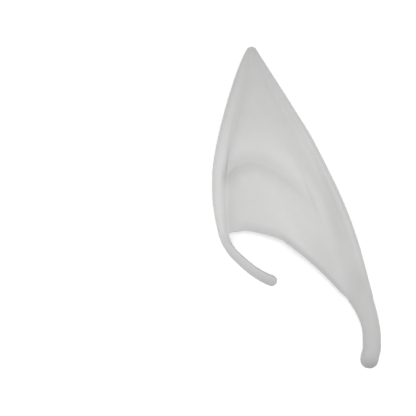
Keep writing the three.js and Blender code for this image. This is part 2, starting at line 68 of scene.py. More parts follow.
# The two long edges, as shares of WIDTH and LENGTH. fold and arch say how much of the fold's and of the
# mouth's curve the front wall takes at a station, under how much of the mouth's curve the back wall takes.
EDGES = [
    dict(at=0.0, front_x=0.236, front_y=0.0, back_x=0.236, back_y=0.0, fold=0, arch=0, under=0),
    dict(at=0.012, front_x=0.214, front_y=0.004, back_x=0.255, back_y=0.004, fold=0, arch=0, under=0),
    dict(at=0.03, front_x=0.198, front_y=0.017, back_x=0.271, back_y=0.017, fold=0, arch=0, under=0),
    dict(at=0.06, front_x=0.176, front_y=0.042, back_x=0.301, back_y=0.042, fold=0, arch=0, under=0),
    dict(at=0.12, front_x=0.143, front_y=0.085, back_x=0.357, back_y=0.088, fold=0, arch=0, under=0),
    dict(at=0.2, front_x=0.112, front_y=0.135, back_x=0.422, back_y=0.141, fold=0, arch=0, under=0),
    dict(at=0.3, front_x=0.078, front_y=0.193, back_x=0.508, back_y=0.213, fold=0.05, arch=0, under=0),
    dict(at=0.4, front_x=0.047, front_y=0.256, back_x=0.591, back_y=0.284, fold=0.2, arch=0, under=0.03),
    dict(at=0.5, front_x=0.024, front_y=0.312, back_x=0.678, back_y=0.373, fold=0.45, arch=0, under=0.12),
    dict(at=0.6, front_x=0.007, front_y=0.367, back_x=0.785, back_y=0.492, fold=0.75, arch=0, under=0.28),
    dict(at=0.7, front_x=0.001, front_y=0.402, back_x=0.87, back_y=0.617, fold=1, arch=0, under=0.45),
    dict(at=0.8, front_x=0.002, front_y=0.464, back_x=0.897, back_y=0.668, fold=0.6, arch=0.3, under=0.62),
    dict(at=0.9, front_x=0.016, front_y=0.526, back_x=0.924, back_y=0.721, fold=0.25, arch=0.65, under=0.8),
    dict(at=1.0, front_x=0.035, front_y=0.575, back_x=0.952, back_y=0.777, fold=0, arch=1, under=1),
]
# Widths of the rims at the same stations, as shares of FRONT_RIM, BACK_RIM and HEM.
RIM_WIDTHS = [
    dict(at=0.0, rim_width=0.6, groove_width=0.4, hem_width=1),
    dict(at=0.03, rim_width=0.7, groove_width=0.45, hem_width=1),
    dict(at=0.06, rim_width=0.8, groove_width=0.5, hem_width=1),
    dict(at=0.12, rim_width=0.98, groove_width=0.6, hem_width=1),
    dict(at=0.2, rim_width=1.03, groove_width=0.77, hem_width=1),
    dict(at=0.3, rim_width=1.18, groove_width=0.92, hem_width=1.2),
    dict(at=0.4, rim_width=1.28, groove_width=0.98, hem_width=1.35),
    dict(at=0.5, rim_width=1.34, groove_width=1.03, hem_width=1.35),
    dict(at=0.6, rim_width=1.3, groove_width=1.13, hem_width=1.28),
    dict(at=0.7, rim_width=1.26, groove_width=1.15, hem_width=1.5),
    dict(at=0.8, rim_width=1.14, groove_width=1.2, hem_width=1.55),
    dict(at=0.9, rim_width=0.98, groove_width=0.96, hem_width=1.3),
    dict(at=1.0, rim_width=0.78, groove_width=0.8, hem_width=1),
]
# Heights across the wall from the front side to the back side, as shares of DEPTH.
HEIGHTS = [
    dict(at=0.0, side=0.2, rim=0.2, crease=0.2, bowl=0.2, dome=0.2, hem=0.2, groove=0.2, back_rim=0.2,
         belly=0.2),
    dict(at=0.012, side=0.2, rim=0.28, crease=0.28, bowl=0.285, dome=0.29, hem=0.285, groove=0.28,
         back_rim=0.28, belly=0.11),
    dict(at=0.03, side=0.21, rim=0.34, crease=0.338, bowl=0.35, dome=0.355, hem=0.35, groove=0.345,
         back_rim=0.345, belly=0.07),
    dict(at=0.06, side=0.22, rim=0.4, crease=0.388, bowl=0.393, dome=0.405, hem=0.415, groove=0.405,
         back_rim=0.41, belly=0.03),
    dict(at=0.12, side=0.26, rim=0.455, crease=0.432, bowl=0.443, dome=0.46, hem=0.475, groove=0.455,
         back_rim=0.475, belly=0),
    dict(at=0.2, side=0.29, rim=0.51, crease=0.474, bowl=0.5, dome=0.53, hem=0.545, groove=0.505,
         back_rim=0.53, belly=0),
    dict(at=0.3, side=0.31, rim=0.545, crease=0.498, bowl=0.546, dome=0.6, hem=0.61, groove=0.565,
         back_rim=0.595, belly=0),
    dict(at=0.4, side=0.32, rim=0.57, crease=0.516, bowl=0.588, dome=0.65, hem=0.675, groove=0.625,
         back_rim=0.655, belly=0),
    dict(at=0.5, side=0.32, rim=0.58, crease=0.524, bowl=0.612, dome=0.7, hem=0.74, groove=0.675,
         back_rim=0.71, belly=0),
    dict(at=0.6, side=0.32, rim=0.585, crease=0.524, bowl=0.63, dome=0.74, hem=0.81, groove=0.735,
         back_rim=0.77, belly=0),
    dict(at=0.7, side=0.32, rim=0.585, crease=0.52, bowl=0.65, dome=0.8, hem=0.88, groove=0.785,
         back_rim=0.81, belly=0),
    dict(at=0.8, side=0.32, rim=0.575, crease=0.512, bowl=0.7, dome=0.92, hem=0.86, groove=0.77,
         back_rim=0.78, belly=0),
    dict(at=0.9, side=0.3, rim=0.54, crease=0.48, bowl=0.75, dome=0.99, hem=0.8, groove=0.7,
         back_rim=0.7, belly=0),
    dict(at=1.0, side=0.27, rim=0.5, crease=0.44, bowl=0.75, dome=0.98, hem=0.66, groove=0.6,
         back_rim=0.6, belly=0),
]
BOWL_PLACE = 0.2
DOME_PLACE = 0.55
SOFTNESS = 0.0055
SOFT_SHIFTS = (-1, -0.67, -0.33, 0, 0.33, 0.67, 1)
MOST_RIM = 0.3
MOST_GROOVE = 0.3
MOST_HEM = 0.42
MOST_ROUND = 0.4

# Lower edge of the front wall, from the crotch beside the hook to the tail.
ARCH = [
    dict(along=0.0, x=0.092, y=0.578),
    dict(along=0.125, x=0.191, y=0.566),
    dict(along=0.25, x=0.302, y=0.577),
    dict(along=0.375, x=0.404, y=0.594),
    dict(along=0.5, x=0.492, y=0.627),
    dict(along=0.625, x=0.575, y=0.662),
    dict(along=0.75, x=0.654, y=0.7),
    dict(along=0.875, x=0.73, y=0.741),
    dict(along=1.0, x=0.805, y=0.785),
]
# Arched fold, from the front crease up, over and down to the back groove, where it narrows and runs out.
# Its last three columns are shares of its depth, its half width and the shade painted in its valley.
FOLD = [
    dict(along=0.0, x=0.089, y=0.402, depth=0.65, reach=1, pool=0.65),
    dict(along=0.14, x=0.136, y=0.373, depth=1, reach=1, pool=1),
    dict(along=0.28, x=0.235, y=0.358, depth=0.9, reach=1, pool=0.9),
    dict(along=0.42, x=0.345, y=0.378, depth=0.68, reach=0.9, pool=0.75),
    dict(along=0.56, x=0.453, y=0.417, depth=0.45, reach=0.75, pool=0.75),
    dict(along=0.7, x=0.553, y=0.466, depth=0.3, reach=0.75, pool=0.9),
    dict(along=0.85, x=0.64, y=0.54, depth=0.15, reach=0.9, pool=0.6),
    dict(along=1.0, x=0.788, y=0.608, depth=0, reach=1, pool=0),
]
FOLD_STATION = 0.7

ROWS_TO_FOLD = 104
ROWS_TO_MOUTH = 50
ROW_CROWDING = 0.5
COLUMNS = dict(rim_out=14, rim_in=10, middle=72, hem_in=10, back_rim_in=6, back_rim_out=14,
               turn=8, tail_flat=5, flat=24)


def mix(a, b, t):
    return a + (b - a) * t


def ease(t):
    return t * t * (3 - 2 * t)


def steps(count):
    return [(i + 1) / count for i in range(count)]


def smooth_line(places, values):
    """A curve through the values that never overshoots one, as a function of the place."""
    last = len(places) - 1
    rises = [(values[i + 1] - values[i]) / (places[i + 1] - places[i]) for i in range(last)]
    slopes = [rises[0]]
    for i in range(1, last):
        rise_in, rise_out = rises[i - 1], rises[i]
        step_in, step_out = places[i] - places[i - 1], places[i + 1] - places[i]
        if rise_in * rise_out <= 0:
            slopes.append(0.0)
            continue
        weight_in, weight_out = 2 * step_out + step_in, step_out + 2 * step_in
        slopes.append((weight_in + weight_out) / (weight_in / rise_in + weight_out / rise_out))
    slopes.append(rises[-1])

    def value(place):
        row = min(max(bisect_right(places, place) - 1, 0), last - 1)
        step = places[row + 1] - places[row]
        t = min(max((place - places[row]) / step, 0), 1)
        start_weight = 2 * t**3 - 3 * t**2 + 1
        pull = (t**3 - 2 * t**2 + t) * slopes[row] + (t**3 - t**2) * slopes[row + 1]
        return start_weight * values[row] + (1 - start_weight) * values[row + 1] + step * pull

    return value


def smooth_columns(table, key):
    places = [row[key] for row in table]
    return {name: smooth_line(places, [row[name] for row in table]) for name in table[0] if name != key}


def plan_place(x_share, y_share):
    return Vector((MIDDLE.x + (x_share - 0.5) * WIDTH, MIDDLE.y + (0.5 - y_share) * LENGTH))


def plan_line(table):
    columns = smooth_columns(table, "along")
    return lambda along: plan_place(columns["x"](along), columns["y"](along))


edge_columns = smooth_columns(EDGES, "at")
width_columns = smooth_columns(RIM_WIDTHS, "at")
height_columns = smooth_columns(HEIGHTS, "at")
arch_line = plan_line(ARCH)
fold_line = plan_line(FOLD)


def station_at(at):
    """The two edges of a station, with the widths and heights of the relief between them."""
    edge = {name: value(at) for name, value in edge_columns.items()}
    share = {name: value(at) for name, value in width_columns.items()}
    height = {name: DEPTH * value(at) for name, value in height_columns.items()}
    front = plan_place(edge["front_x"], edge["front_y"])
    back = plan_place(edge["back_x"], edge["back_y"])
    width = (back - front).length
    rim_width = min(FRONT_RIM * share["rim_width"], MOST_RIM * width)
    groove_width = min(BACK_RIM * share["groove_width"], MOST_GROOVE * width)
    hem_width = min(HEM * share["hem_width"], MOST_HEM * width)
    open_width = width - rim_width - hem_width
    groove_place = width - groove_width
    places = [rim_width, rim_width + BOWL_PLACE * open_width, rim_width + DOME_PLACE * open_width,
              width - hem_width, groove_place, width - groove_width / 2]
    names = ["crease", "bowl", "dome", "hem", "groove", "back_rim"]
    wall_line = smooth_line(places, [height[name] for name in names]) if width > 0 else None

    def wall_height(distance):
        """Height of the front wall, rounded over between the crease and the groove, which stay sharp."""
        soft = max(min(SOFTNESS, distance - rim_width, groove_place - distance), 0)
        return sum(wall_line(distance + soft * shift) for shift in SOFT_SHIFTS) / len(SOFT_SHIFTS)

    return SimpleNamespace(front=front, back=back, width=width, rim_width=rim_width,
                           groove_width=groove_width, hem_width=hem_width,
                           round=min(EDGE_ROUND, MOST_ROUND * width), fold=edge["fold"],
                           arch=edge["arch"], under=edge["under"], wall_height=wall_height, **height)


mouth = station_at(1)
crest = station_at(FOLD_STATION)
crotch = arch_line(0)
tail_root = arch_line(1)


def mouth_point(across, rise):
    """Plan line of the mouth: across the hook, along the arch, across the tail."""
    hook_share = mouth.rim_width / mouth.width
    tail_share = 1 - mouth.hem_width / mouth.width
    if across <= hook_share:
        return mouth.front.lerp(crotch, across / hook_share)
    if across >= tail_share:
        return tail_root.lerp(mouth.back, (across - tail_share) / (1 - tail_share))
    along = (across - hook_share) / (tail_share - hook_share)
    return arch_line(along) + Vector((0, rise * math.sin(math.pi * along)))


def fold_point(across):
    """Plan line of the fold: across the front rim, along the valley, across the back rim."""
    start_share = crest.rim_width / crest.width
    end_share = 1 - crest.groove_width / crest.width
    if across <= start_share:
        return crest.front.lerp(fold_line(0), across / start_share)
    if across >= end_share:
        return fold_line(1).lerp(crest.back, (across - end_share) / (1 - end_share))
    return fold_line((across - start_share) / (end_share - start_share))


def place_across(station, distance, on_back):
    """Plan place of a point of a station. The back wall doesn't follow the fold and ends higher."""
    across = distance / station.width if station.width > 0 else 0
    place = station.front.lerp(station.back, across)
    to_mouth = mouth_point(across, BACK_ARCH_RISE if on_back else 0)
    to_mouth -= mouth.front.lerp(mouth.back, across)
    if on_back:
        return place + to_mouth * station.under
    to_fold = fold_point(across) - crest.front.lerp(crest.back, across)
    return place + to_mouth * station.arch + to_fold * station.fold


def full(value):
    return abs(value) ** RIM_FULLNESS


# Shares of shade painted into the latex's colour, from 0 where it keeps its pale white to 1 where it is
# greyest.
# The shade is painted at the solid point, the tail and the rims, along the lip, and in the crease and the
# groove.
POINT_SHADE = 0.45
POINT_REACH = 0.6
TAIL_ROOT_SHADE = 0.36
TAIL_REACH = 0.032
HEM_SHADE = 0.18
HEM_REACH = 0.045
LIP_SHADE = 0.18
CREASE_SHADE_SHARE = 0.12
CREASE_REACH = 0.006
CREASE_STATION = 0.78
GROOVE_REACH = 0.006
GROOVE_STATION = 0.42
CREASE_SHADE_FADE = 0.15
CREASE_SHADE_END = 0.08


def painted_body_shade(at, place):
    """Share of painted shade: greyer towards the solid point, the back edge and the tail."""
    if at == 0:
        return POINT_SHADE
    back = plan_place(edge_columns["back_x"](at), edge_columns["back_y"](at))
    in_hem = min(max(2 - 2 * (place - back).length / (HEM_REACH * at**3), 0), 1)
    to_point = POINT_SHADE * max(1 - at / POINT_REACH, 0)
    to_tail = TAIL_ROOT_SHADE * max(1 - (place - mouth.back).length / TAIL_REACH, 0)
    return max(to_point, to_tail, HEM_SHADE * in_hem)


def painted_crease_shade(station, at, distance):
    """Share of painted shade beside the crease and in the groove, further down towards the mouth."""
    by_crease = max(1 - (distance - station.rim_width) / CREASE_REACH, 0)
    by_groove = max(1 - abs(distance - station.width + station.groove_width) / GROOVE_REACH, 0)
    down_crease = min(max((at - CREASE_STATION) / CREASE_SHADE_FADE, 0), 1)
    down_groove = min(max((at - GROOVE_STATION) / CREASE_SHADE_FADE, 0), 1)
    before_mouth = min((1 - at) / CREASE_SHADE_END, 1)
    return CREASE_SHADE_SHARE * before_mouth * max(ease(by_crease) * down_crease, ease(by_groove) * down_groove)


def lip_roll(station, distance, place):
    """How near the front wall is to the arched edge of the mouth (0 to 1), and how far it rolls down."""
    across = distance / station.width
    before_tail = 1 - mouth.hem_width / mouth.width - across
    fade = min(max(min(across - mouth.rim_width / mouth.width, before_tail) / LIP_ROLL_FADE, 0), 1)
    near = max(1 - (mouth_point(across, 0) - place).length / LIP_ROLL_WIDTH, 0)
    near *= min(max(1 + before_tail / LIP_TAIL_FADE, 0), 1)
    return near, LIP_ROLL * ease(fade) * near**2


def section_points(at, inset):
    """One section as a closed row of (point, press, shade): over the front wall, then back under the back.
    inset 0 gives the outer skin, inset WALL the skin of the pocket, whose rims are cast thick. press is how
    much of the fold's depth the point takes, shade the share of shade painted into its colour."""
    station = station_at(at)
    row = []

    def put(distance, z, on_back=False, press=0.0, near=0.0, pool=0.0):
        place = place_across(station, distance, on_back)
        # painted shade: greyer at the point, the tail and the back edge, along the arched lip and beside the
        # creases
        painted_shade = painted_body_shade(at, place) + LIP_SHADE * near + pool
        row.append((Vector((place.x, place.y, z)), press, painted_shade))

    def put_wall(distance):
        near, drop = lip_roll(station, distance, place_across(station, distance, False))
        put(distance, station.wall_height(distance) - drop - inset, press=1.0, near=near,
            pool=painted_crease_shade(station, at, distance))

    put(inset, station.side)
    if station.width == 0:
        return row
    if inset == 0:
        rim_top = RIM_CREST * station.rim_width
        for angle in (t * math.pi / 2 for t in steps(COLUMNS["rim_out"])):
            put(rim_top * (1 - full(math.cos(angle))), mix(station.side, station.rim, full(math.sin(angle))))
        for t in steps(COLUMNS["rim_in"]):
            fallen = t**RIM_FALL
            put(mix(rim_top, station.rim_width, t), mix(station.rim, station.crease, fallen), press=fallen,
                pool=fallen * painted_crease_shade(station, at, station.rim_width))
    else:
        for angle in (t * math.pi / 2 for t in steps(COLUMNS["rim_out"] + COLUMNS["rim_in"])):
            put(mix(station.rim_width, inset, math.cos(angle)),
                mix(station.side, station.crease - inset, math.sin(angle)), press=math.sin(angle))
    hem_start = station.width - station.hem_width
    groove_start = station.width - station.groove_width
    for t in steps(COLUMNS["middle"]):
        put_wall(mix(station.rim_width, hem_start, t))
    for t in steps(COLUMNS["hem_in"]):
        put_wall(mix(hem_start, groove_start, t))
    if inset == 0:
        for t in steps(COLUMNS["back_rim_in"]):
            put_wall(mix(groove_start, station.width - station.groove_width / 2, t))
        for angle in (t * math.pi / 2 for t in steps(COLUMNS["back_rim_out"])):
            put(station.width - station.groove_width / 2 * (1 - full(math.sin(angle))),
                mix(station.side, station.back_rim, full(math.cos(angle))))
    else:
        for angle in (t * math.pi / 2 for t in steps(COLUMNS["back_rim_in"] + COLUMNS["back_rim_out"])):
            put(mix(groove_start, station.width - inset, math.sin(angle)),
                mix(station.side, station.groove - inset, math.cos(angle)))
    for angle in (t * math.pi / 2 for t in steps(COLUMNS["turn"])):
        put(station.width - mix(station.round, inset, math.cos(angle)),
            mix(station.side, station.belly + inset, math.sin(angle)), on_back=True)
    tail_flat = max(station.hem_width, station.round)
    for t in steps(COLUMNS["tail_flat"]):
        put(station.width - mix(station.round, tail_flat, t), station.belly + inset, on_back=True)
    for t in steps(COLUMNS["flat"]):
        put(mix(station.width - tail_flat, station.round, t), station.belly + inset, on_back=True)
    for angle in (t * math.pi / 2 for t in steps(COLUMNS["turn"])[:-1]):
        put(mix(station.round, inset, math.sin(angle)),
            mix(station.side, station.belly + inset, math.cos(angle)), on_back=True)
    return row


# The casting's skin gathers points and faces, all of one closed surface, as the latex is one piece.
# Each point also keeps how deep the fold presses it and how much shade is painted into its colour.
points = []
faces = []
press_shares = []
painted_shade_shares = []


def add_point(point, press=0.0, painted_shade=0.0):
    points.append(point)
    press_shares.append(press)
    painted_shade_shares.append(painted_shade)
    return len(points) - 1


def add_row(row):
    return [add_point(point, press, painted_shade) for point, press, painted_shade in row]


def band(upper, lower, closed):
    count = len(upper) if closed else len(upper) - 1
    for j in range(count):
        after = (j + 1) % len(upper)
        faces.append((upper[j], lower[j], lower[after], upper[after]))


def crowded(t):
    return mix(t, 0.5 - 0.5 * math.cos(math.pi * t), ROW_CROWDING)


# Point and outer skin: the end of the point is cast solid, because wet latex fills the narrow tip of the
# mould. The outer skin runs from it down to the mouth, and the pocket starts a little below it.
SOLID_POINT = 0.013
POCKET_CROWN = 0.007
SEARCH_STEPS = 40


def station_below(length):
    """Station whose front edge lies a given length below the end of the point."""
    low, high = 0.0, 1.0
    for _ in range(SEARCH_STEPS):
        middle = (low + high) / 2
        if LENGTH * edge_columns["front_y"](middle) < length:
            low = middle
        else:
            high = middle
    return high


pocket_top = station_below(SOLID_POINT)
full_pocket = station_below(SOLID_POINT + POCKET_CROWN)
outer_stations = [FOLD_STATION * crowded(t) for t in steps(ROWS_TO_FOLD)]
outer_stations += [mix(FOLD_STATION, 1, crowded(t)) for t in steps(ROWS_TO_MOUTH)]

pole = add_point(section_points(0, 0)[0][0], painted_shade=POINT_SHADE)
outer_row = None
for at in outer_stations:
    next_row = add_row(section_points(at, 0))
    if outer_row is None:
        faces += [(pole, a, b) for a, b in zip(next_row, next_row[1:] + next_row[:1])]
    else:
        band(outer_row, next_row, True)
    outer_row = next_row

# Pocket: the inside of the skin, which the top of the wearer's ear goes into. The latex dries to an even
# wall in the mould, so the pocket follows the outer skin, and it rounds off at its top.
POCKET_ROWS = 90

inner_row = add_row(section_points(1, WALL))
row = inner_row
for t in steps(POCKET_ROWS)[:-1]:
    at = mix(1, pocket_top, t)
    section = section_points(at, WALL)
    middle = sum((point for point, _, _ in section), Vector()) / len(section)
    short = max((full_pocket - at) / (full_pocket - pocket_top), 0)
    size = math.sqrt(1 - short * short)
    next_row = add_row([(middle.lerp(point, size), press, painted_shade) for point, press, painted_shade in section])
    band(row, next_row, True)
    row = next_row
section = section_points(pocket_top, WALL)
crown = add_point(sum((point for point, _, _ in section), Vector()) / len(section))
faces += [(a, crown, b) for a, b in zip(row, row[1:] + row[:1])]

# Mouth: the arched lower edge of the front wall and the higher edge of the back wall, where the latex was
# trimmed when it came off the mould. Both lips are rounded.
LIP_POINTS = 5
LIP_FADE = 6

count = len(outer_row)
crease = COLUMNS["rim_out"] + COLUMNS["rim_in"]
hem = crease + COLUMNS["middle"]
back_side = hem + COLUMNS["hem_in"] + COLUMNS["back_rim_in"] + COLUMNS["back_rim_out"]
back_turn = back_side + COLUMNS["turn"] + COLUMNS["tail_flat"]
front_turn = back_turn + COLUMNS["flat"]


def stretch(row, start, end):
    return [row[j % count] for j in range(start, end + 1)]


def add_lip(start, end):
    """Rounds the edge between the skins with rows of points, and gives back its two cross rows."""
    outer, inner = stretch(outer_row, start, end), stretch(inner_row, start, end)
    rows = [outer]
    for angle in (t * math.pi for t in steps(LIP_POINTS + 1)[:-1]):
        lip_row = []
        for j, (a, b) in enumerate(zip(outer, inner)):
            share = 0.5 - 0.5 * math.cos(angle)
            fade = min(j, len(outer) - 1 - j, LIP_FADE) / LIP_FADE
            point = points[a].lerp(points[b], share)
            point.y -= WALL / 2 * math.sin(angle) * fade
            press = mix(press_shares[a], press_shares[b], share)
            painted_shade = mix(painted_shade_shares[a], painted_shade_shares[b], share)
            lip_row.append(add_point(point, press, painted_shade))
        rows.append(lip_row)
    rows.append(inner)
    for upper, lower in zip(rows, rows[1:]):
        band(upper, lower, False)
    return [r[0] for r in rows[1:-1]], [r[-1] for r in rows[1:-1]]


front_lip_start, front_lip_end = add_lip(crease, hem)
back_lip_start, back_lip_end = add_lip(back_turn, front_turn)

# Hook and tail: the latex of the mouth's two ends runs on as solid strands. The hook is short and round and
# curls in under the arch; the tail is a longer, flatter strip that hangs down behind the wearer's ear.
STRAND_CROWDING = 1.15
LAST_ROW = 0.35
LINE_STEPS = 240
HOOK_LINE = [
    dict(along=0.0, x=0.063, y=0.577),
    dict(along=0.16, x=0.082, y=0.6065),
    dict(along=0.32, x=0.12, y=0.638),
    dict(along=0.5, x=0.178, y=0.668),
    dict(along=0.68, x=0.249, y=0.6985),
    dict(along=0.85, x=0.319, y=0.72),
    dict(along=1.0, x=0.383, y=0.7335),
]
TAIL_LINE = [
    dict(along=0.0, x=0.878, y=0.782),
    dict(along=0.16, x=0.909, y=0.817),
    dict(along=0.33, x=0.933, y=0.857),
    dict(along=0.5, x=0.946, y=0.896),
    dict(along=0.67, x=0.947, y=0.933),
    dict(along=0.84, x=0.934, y=0.967),
    dict(along=1.0, x=0.925, y=1.0),
]


def ease_out(t):
    return t * (2 - t)


# neck and width are across the strand at its root and its end, thickness is its height. section is the power
# that rounds its section, 1 for an ellipse and less for a squarer one, and slant is how much lower it is on
# the side where its root starts. The root's outer skin goes round it from start_angle over sweep. It takes
# its own form over blend and its own height over fall. Its sides close over end_length, and its top comes
# down over end_fall to end_level, a share of its height. shares give the shade painted into its colour at
# the root, near the end and at the very end. The side shades, at the root and near the end, tell how much
# more shade is painted on the side where the root ends.
HOOK = SimpleNamespace(neck=0.003, width=0.0041, thickness=0.0039, section=0.6, slant=0.4,
                       start_angle=math.radians(-70), sweep=math.radians(265), blend=0.008, fall=0.008,
                       filling=ease, rows=60, end_length=0.00205, end_fall=0.00205, end_level=0.5,
                       shares=(0.12, 0.42, 0.2), side_shades=(-0.12, -0.2))
TAIL = SimpleNamespace(neck=0.0067, width=0.0067, thickness=0.0056, section=0.65, slant=0,
                       start_angle=math.radians(150), sweep=math.radians(285), blend=0.014, fall=0.024,
                       filling=ease_out, rows=80, end_length=0.00335, end_fall=0.0055, end_level=0.15,
                       shares=(0.33, 0.6, 1), side_shades=(-0.07, 0.12))


def add_strand(strand, line, start, end, loop, outer_count):
    """Grows a strand from the wall at its root, where loop is the cut wall and outer_count the number of its
    steps on the outer skin: it fills up to a rounded section and closes in a round end."""
    root = [points[index] for index in loop]
    across_root = end - start
    root_half = across_root.length / 2
    root_middle = (start + end) / 2
    root_tall = max(point.z for point in root)
    across_root.normalize()
    middles = [line(i / LINE_STEPS) for i in range(LINE_STEPS + 1)]
    middles[0] = root_middle
    lengths = [0.0]
    for a, b in zip(middles, middles[1:]):
        lengths.append(lengths[-1] + (b - a).length)
    total = lengths[-1]
    angles = []
    for k in range(len(root)):
        inward = (k - outer_count) / (len(root) - outer_count)
        if k <= outer_count:
            angles.append(strand.start_angle - strand.sweep * k / outer_count)
        else:
            angles.append(strand.start_angle - strand.sweep - (2 * math.pi - strand.sweep) * inward)

    def rounded(value):
        return math.copysign(abs(value) ** strand.section, value)

    row = loop
    for i in range(1, strand.rows + 1):
        length = total * (1 - (1 - i / (strand.rows + LAST_ROW)) ** STRAND_CROWDING)
        spot = min(bisect_right(lengths, length), LINE_STEPS)
        t = (length - lengths[spot - 1]) / (lengths[spot] - lengths[spot - 1])
        place = middles[spot - 1].lerp(middles[spot], t)
        heading = (middles[spot] - middles[spot - 1]).normalized()
        across = Vector((-heading.y, heading.x))
        if across.dot(across_root) < 0:
            across.negate()
        across = across.lerp(across_root, 1 - min(2 * length / strand.blend, 1)).normalized()
        filled = strand.filling(min(length / strand.blend, 1))
        past_end = max((length - total) / strand.end_length + 1, 0)
        past_top = max((length - total) / strand.end_fall + 1, 0)
        size = math.sqrt(1 - past_end * past_end)
        rise = math.sqrt(1 - past_top * past_top)
        half = mix(root_half, mix(strand.neck, strand.width, length / total) / 2, filled) * size
        tall = mix(root_tall, strand.thickness, strand.filling(min(length / strand.fall, 1)))
        near_end = (length / total) ** 2
        # painted shade along the strand: greyer towards its end, and darker on one side
        root_shade, late_shade, end_share = strand.shares
        middle_shade = mix(mix(root_shade, late_shade, near_end), end_share, past_top * past_top)
        side_shade = mix(*strand.side_shades, near_end)
        next_row = []
        for index, root_point, angle in zip(loop, root, angles):
            from_middle = root_point.to_2d() - root_middle
            root_side = from_middle.dot(across_root) / root_half
            uneven_root = from_middle - across_root * root_side * root_half
            side = half * mix(root_side, rounded(math.cos(angle)), filled)
            share = mix(root_point.z / root_tall, 0.5 + 0.5 * rounded(math.sin(angle)), filled)
            lower = 1 - strand.slant * filled * (0.5 - 0.5 * rounded(math.cos(angle)))
            point = place + across * side + uneven_root * (1 - filled)
            z = tall * mix(strand.end_level, share * lower, rise)
            own_shade = min(max(middle_shade + side_shade * rounded(math.cos(angle)), 0), 1)
            painted_shade = mix(painted_shade_shares[index], own_shade, filled)
            next_row.append(add_point(Vector((point.x, point.y, z)), painted_shade=painted_shade))
        band(row, next_row, True)
        row = next_row
    last_place = Vector((middles[-1].x, middles[-1].y, strand.thickness * strand.end_level))
    last = add_point(last_place, painted_shade=strand.shares[-1])
    faces.extend((a, last, b) for a, b in zip(row, row[1:] + row[:1]))


def strand_loop(start, end, lip_at_end, lip_at_start):
    """Closed row of the cut wall at a strand's root, and the number of its steps on the outer skin."""
    outer = stretch(outer_row, start, end)
    inner = stretch(inner_row, start, end)[::-1]
    return outer + lip_at_end + inner + lip_at_start[::-1], len(outer) - 1


hook_cut = strand_loop(front_turn, count + crease, front_lip_start, back_lip_end)
add_strand(HOOK, plan_line(HOOK_LINE), mouth.front, crotch, *hook_cut)
tail_cut = strand_loop(hem, back_turn, back_lip_start, front_lip_end)
add_strand(TAIL, plan_line(TAIL_LINE), tail_root, mouth.back, *tail_cut)

skin = bpy.data.meshes.new("ear_tip_skin")
skin.from_pydata(points, [], faces)
for name, values in (("press", press_shares), ("painted_shade", painted_shade_shares)):
    skin.attributes.new(name, "FLOAT", "POINT").data.foreach_set("value", values)

# The arched fold is pressed into the front wall along its line, and the whole skin keeps the slight
# unevenness of latex that dried in the mould. Both are worked on the skin by one tree of geometry nodes.
FOLD_DEPTH = 0.0024
FOLD_HALF_WIDTH = 0.0034
FOLD_SHARPNESS = 1.5
FOLD_POINTS = 160
UNEVENNESS = 0.00006
UNEVEN_SIZE = 0.011
EVEN_BELOW = 0.002
DRYING_SEED = 7

fold_columns = smooth_columns(FOLD, "along")
fold_mesh = bpy.data.meshes.new("fold_line")
fold_places = [fold_line(i / FOLD_POINTS) for i in range(FOLD_POINTS + 1)]
fold_mesh.from_pydata([(p.x, p.y, 0) for p in fold_places],
                      [(i, i + 1) for i in range(FOLD_POINTS)], [])
for name in ("depth", "reach", "pool"):
    shares = [fold_columns[name](i / FOLD_POINTS) for i in range(FOLD_POINTS + 1)]
    fold_mesh.attributes.new(name, "FLOAT", "POINT").data.foreach_set("value", shares)
fold_object = bpy.data.objects.new("fold_line", fold_mesh)
bpy.context.scene.collection.objects.link(fold_object)


def add_node(tree, kind, settings=None, **inputs):
    """A new node with its settings, whose inputs are given as values or as sockets to link from."""
    node = tree.nodes.new(kind)
    for name, value in (settings or {}).items():
        setattr(node, name, value)
    for name, value in inputs.items():
        socket = node.inputs[int(name[1:])] if name[1:].isdigit() else node.inputs[name.replace("_", " ")]
        if isinstance(value, bpy.types.NodeSocket):
            tree.links.new(value, socket)
        else:
            socket.default_value = value
    return node


def maths(tree, operation, a, b=None):
    inputs = {"i0": a} if b is None else {"i0": a, "i1": b}
    return add_node(tree, "ShaderNodeMath", {"operation": operation}, **inputs).outputs[0]


